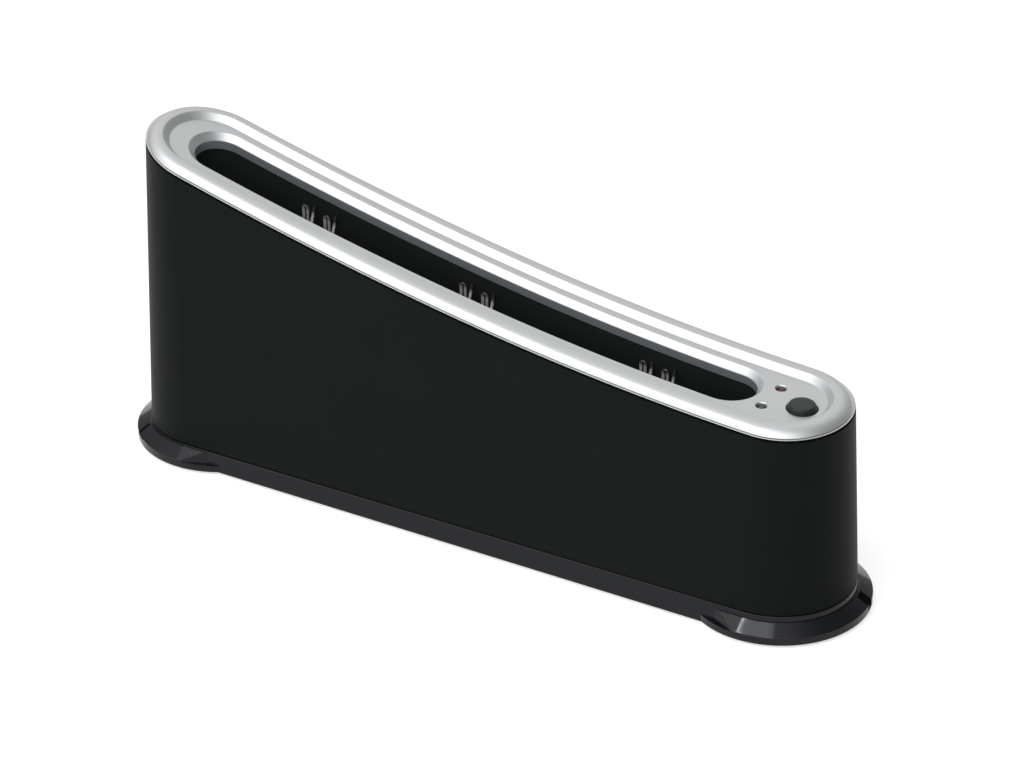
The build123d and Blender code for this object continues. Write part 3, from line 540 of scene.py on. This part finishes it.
def hole_profile(bore, mouth, bevel_low, bevel_high):
    """Cutter for a hole with a bevelled mouth."""
    return (
        (0.0, CUT_LOW), (bore, CUT_LOW), (bore, bevel_low), (mouth, bevel_high),
        (mouth, CUT_HIGH), (0.0, CUT_HIGH),
    )


def post_profile(bore, radius, top, roof, foot):
    """Screw post that hangs from the skin, its bore closed by a roof."""
    return ((0.0, roof), (bore, roof), (bore, foot), (radius, foot), (radius, top), (0.0, top))


def hanging_posts():
    """Posts for the body's and the board's screws, their tops inside the bezel's skin."""
    shape = bmesh.new()
    for x in POST_XS:
        for y in (-POST_Y, POST_Y):
            place = Matrix.Translation(Vector((x, y, crown_z(x))) * MM)
            turn_profile(shape, post_profile(**BODY_POST), place, POST_TURN)
    for spot in BOARD_SPOTS:
        turn_profile(shape, post_profile(**BOARD_POST), deck_place(spot), POST_TURN)
    return mesh_from(shape, "posts")


WALL_MARGIN = 0.5            # round the slot's wall, to find its faces
UPRIGHT = 0.1                # a face is upright if its normal rises by less than this


def paint_shade_on_slot_wall(mesh):
    """Painted shade: the upright wall of the slot's mouth takes a darker silver that stands in for
    the shade it shows.
    """
    mesh.materials.append(MATERIALS["silver_painted_shade"])
    reach = SLOT_RADIUS + WALL_MARGIN
    for face in mesh.polygons:
        x, y, _ = face.center / MM
        in_slot = SLOT_LEFT - reach < x < SLOT_RIGHT + reach and abs(y) < reach
        if in_slot and abs(face.normal.z) < UPRIGHT:
            face.material_index = 1


def make_bezel():
    """Raised rim, sunk face and sloped slot mouth, with the deck's holes and the posts below."""
    bezel = show(swept_bezel())
    button_hole = hole_profile(**BUTTON_HOLE)
    lamp_hole = hole_profile(**LAMP_HOLE)
    cut_away(bezel, [
        turned("button_cut", button_hole, deck_place(BUTTON_SPOT), BUTTON_TURN),
        turned("power_cut", lamp_hole, deck_place(POWER_SPOT), LAMP_TURN),
        turned("ready_cut", lamp_hole, deck_place(READY_SPOT), LAMP_TURN),
    ])
    shape = bmesh.new()
    shape.from_mesh(bezel.data)
    shape.from_mesh(hanging_posts())
    shape.to_mesh(bezel.data)
    shape.free()
    smooth(bezel.data)
    finished(bezel, HOUSING, "silver", "top_bezel")
    paint_shade_on_slot_wall(bezel.data)


# ---------------------------------------------------------------- button, spring and lamps
# Profiles are (radius, height) points in millimetres, with heights from the deck.
STEM_FOOT = -7.2
STEM_RADIUS = 2.8
STEM_BEVEL = 0.25
FLANGE_RADIUS = 9.3
FLANGE_LOW = -3.8
FLANGE_HIGH = -2.3
BASE_RING = ((7.5, 0.30), (7.45, 0.42), (7.33, 0.48), (7.22, 0.46), (7.16, 0.30))
CAP_SIDE = ((7.06, 0.30), (7.04, 0.55), (6.88, 1.10))
CAP_EDGE_CENTRE = (5.95, 1.60)
CAP_EDGE_ROUND = 0.88
CAP_EDGE_SWEEP = (5.0, 82.0)
CAP_EDGE_STEPS = 8
CAP_TOP = ((5.0, 2.49), (3.0, 2.52), (0.0, 2.53))


def make_button():
    """Push button: cap with a rounded edge over a thin base ring, flange and stem below."""
    stem = (
        (0.0, STEM_FOOT), (STEM_RADIUS - STEM_BEVEL, STEM_FOOT),
        (STEM_RADIUS, STEM_FOOT + STEM_BEVEL), (STEM_RADIUS, FLANGE_LOW),
    )
    flange = (
        (FLANGE_RADIUS, FLANGE_LOW), (FLANGE_RADIUS, FLANGE_HIGH), (BASE_RING[0][0], FLANGE_HIGH),
    )
    edge = arc(CAP_EDGE_CENTRE, CAP_EDGE_ROUND, *CAP_EDGE_SWEEP, CAP_EDGE_STEPS)
    profile = [*stem, *flange, *BASE_RING, *CAP_SIDE, *edge, *CAP_TOP]
    piece = turned("button_cap", profile, deck_place(BUTTON_SPOT), BUTTON_TURN)
    finished(piece, BUTTON, "dark_grey", "power_button")


SPRING_RADIUS = 3.7
SPRING_WIRE = 0.3            # radius of the wire
SPRING_LOW = -9.65
SPRING_HIGH = -4.15
SPRING_TURNS = 4
COIL_STEPS = 28
WIRE_STEPS = 10


def make_spring():
    """Return spring round the button's stem."""
    place = deck_place(BUTTON_SPOT)
    shape = bmesh.new()
    rings = []
    count = SPRING_TURNS * COIL_STEPS
    for k in range(count + 1):
        angle = math.tau * k / COIL_STEPS
        height = SPRING_LOW + (SPRING_HIGH - SPRING_LOW) * k / count
        ring = []
        for step in range(WIRE_STEPS):
            turn = math.tau * step / WIRE_STEPS
            radius = SPRING_RADIUS + SPRING_WIRE * math.cos(turn)
            point = round_point(radius, angle, height + SPRING_WIRE * math.sin(turn))
            ring.append(shape.verts.new(place @ point))
        rings.append(ring)
    bridge(shape, rings)
    shape.faces.new(rings[0])
    shape.faces.new(rings[-1])
    piece = show(mesh_from(shape, "return_spring"))
    spring = finished(piece, HOUSING, "wire_steel", "button_spring")
    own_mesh(spring)


LAMP_RADIUS = 2.5
LAMP_FLANGE = 3.0
LAMP_FOOT = -9.6
LAMP_FLANGE_TOP = -8.6
LAMP_SHOULDER = -3.3         # height of the dome's centre
LAMP_SWEEP = (6.0, 84.0)
LAMP_STEPS = 10
LAMP_TIP = -0.79
LAMPS = (
    ("lamp_power", POWER_SPOT, "led_red", "led_power"),
    ("lamp_ready", READY_SPOT, "led_grey", "led_ready"),
)


def make_lamps():
    """Domed indicator lamps, sunk in their holes."""
    dome = arc((0.0, LAMP_SHOULDER), LAMP_RADIUS, *LAMP_SWEEP, LAMP_STEPS)
    profile = [
        (0.0, LAMP_FOOT), (LAMP_FLANGE, LAMP_FOOT), (LAMP_FLANGE, LAMP_FLANGE_TOP),
        (LAMP_RADIUS, LAMP_FLANGE_TOP), (LAMP_RADIUS, LAMP_SHOULDER), *dome, (0.0, LAMP_TIP),
    ]
    for name, spot, slot, node in LAMPS:
        piece = turned(name, profile, deck_place(spot), LAMP_TURN)
        finished(piece, HOUSING, slot, node)


# ---------------------------------------------------------------- light and floor, in metres
WHITE = (1.0, 1.0, 1.0)
BLUISH = (0.88, 0.93, 1.0)
BOX_LINE = (0.94, -0.11, 0.32)    # the soft boxes lie with their width along this line
SOFT_BOXES = {
    "key": dict(direction=(-0.271, -0.286, 0.919), distance=1.80, size=(1.34, 0.70), watts=3.2,
                colour=WHITE),
    "window": dict(direction=(-0.092, -0.300, 0.949), distance=1.75, size=(0.84, 0.34), watts=2.3,
                   colour=BLUISH),
    "strip": dict(direction=(-0.262, -0.341, 0.902), distance=1.70, size=(0.014, 0.40), watts=0.8,
                  colour=WHITE),
}
ROOM_BASE = 0.18
ROOM_LOBES = (               # direction, sharpness and strength
    ((-0.42, -0.58, 0.70), 4.0, 1.08),
    ((-0.45, -0.87, 0.12), 9.0, 2.20),
    ((-0.38, 0.76, 0.54), 4.0, 0.72),
    ((-0.30, 0.12, 0.94), 4.0, 0.45),
    ((0.36, -0.85, 0.34), 9.0, 1.20),
    ((0.32, -0.56, 0.77), 13.0, 2.40),
)
FLOOR_HALF = 40.0
FLOOR_COLOUR = (0.53, 0.53, 0.53, 1.0)
FLOOR_GLOW = 0.58


def soft_box(name, direction, distance, size, watts, colour):
    """Area light at a direction from the middle of the object, facing it."""
    data = bpy.data.lights.new(name, "AREA")
    data.shape = "RECTANGLE"
    data.size, data.size_y = size
    data.energy = watts
    data.color = colour
    lamp = bpy.data.objects.new(name, data)
    away = Vector(direction).normalized()
    lamp.location = CAMERA_TARGET + away * distance
    width = (Vector(BOX_LINE) - away * away.dot(Vector(BOX_LINE))).normalized()
    lamp.rotation_euler = Matrix((width, away.cross(width), away)).transposed().to_euler()
    bpy.context.scene.collection.objects.link(lamp)


def make_world():
    """Soft room: a low base level and wide bright patches that fade into each other."""
    world = bpy.data.worlds.new("room")
    bpy.context.scene.world = world
    world.use_nodes = True
    tree = world.node_tree
    tree.nodes.clear()
    output = tree.nodes.new("ShaderNodeOutputWorld")
    room = tree.nodes.new("ShaderNodeBackground")
    place = tree.nodes.new("ShaderNodeTexCoord")
    total = None
    for direction, sharpness, strength in ROOM_LOBES:
        facing = dot_node(tree, place.outputs["Generated"], Vector(direction).normalized())
        lobe = math_node(tree, "MAXIMUM", facing, 0.0)
        lobe = math_node(tree, "POWER", lobe, sharpness)
        lobe = math_node(tree, "MULTIPLY", lobe, strength)
        total = math_node(tree, "ADD", lobe, ROOM_BASE if total is None else total)
    tree.links.new(total, room.inputs["Strength"])
    tree.links.new(room.outputs["Background"], output.inputs["Surface"])
    room.inputs["Color"].default_value = (*WHITE, 1.0)


def floor_material():
    """Matt floor that keeps the shadow, and looks white to the eye, in metal and in glass."""
    material, tree, output = empty_material("floor")
    matt = tree.nodes.new("ShaderNodeBsdfDiffuse")
    matt.inputs["Color"].default_value = FLOOR_COLOUR
    glow = tree.nodes.new("ShaderNodeEmission")
    path = tree.nodes.new("ShaderNodeLightPath")
    seen = math_node(tree, "MAXIMUM", path.outputs["Is Camera Ray"], path.outputs["Is Glossy Ray"])
    seen = math_node(tree, "MAXIMUM", seen, path.outputs["Is Transmission Ray"])
    tree.links.new(math_node(tree, "MULTIPLY", seen, FLOOR_GLOW), glow.inputs["Strength"])
    total = tree.nodes.new("ShaderNodeAddShader")
    tree.links.new(matt.outputs["BSDF"], total.inputs[0])
    tree.links.new(glow.outputs["Emission"], total.inputs[1])
    tree.links.new(total.outputs["Shader"], output.inputs["Surface"])
    return material


def make_floor():
    """Wide level floor under the pads."""
    mesh = bpy.data.meshes.new("floor")
    half = FLOOR_HALF
    corners = [(-half, -half, 0.0), (half, -half, 0.0), (half, half, 0.0), (-half, half, 0.0)]
    mesh.from_pydata(corners, [], [(0, 1, 2, 3)])
    mesh.materials.append(floor_material())
    floor = bpy.data.objects.new("floor", mesh)
    bpy.context.scene.collection.objects.link(floor)


make_camera()
make_world()
make_floor()
for name, box in SOFT_BOXES.items():
    soft_box(name, **box)
dress_cad_nodes()
make_bezel()
make_button()
make_spring()
make_lamps()

bpy.context.scene.view_settings.view_transform = "Standard"
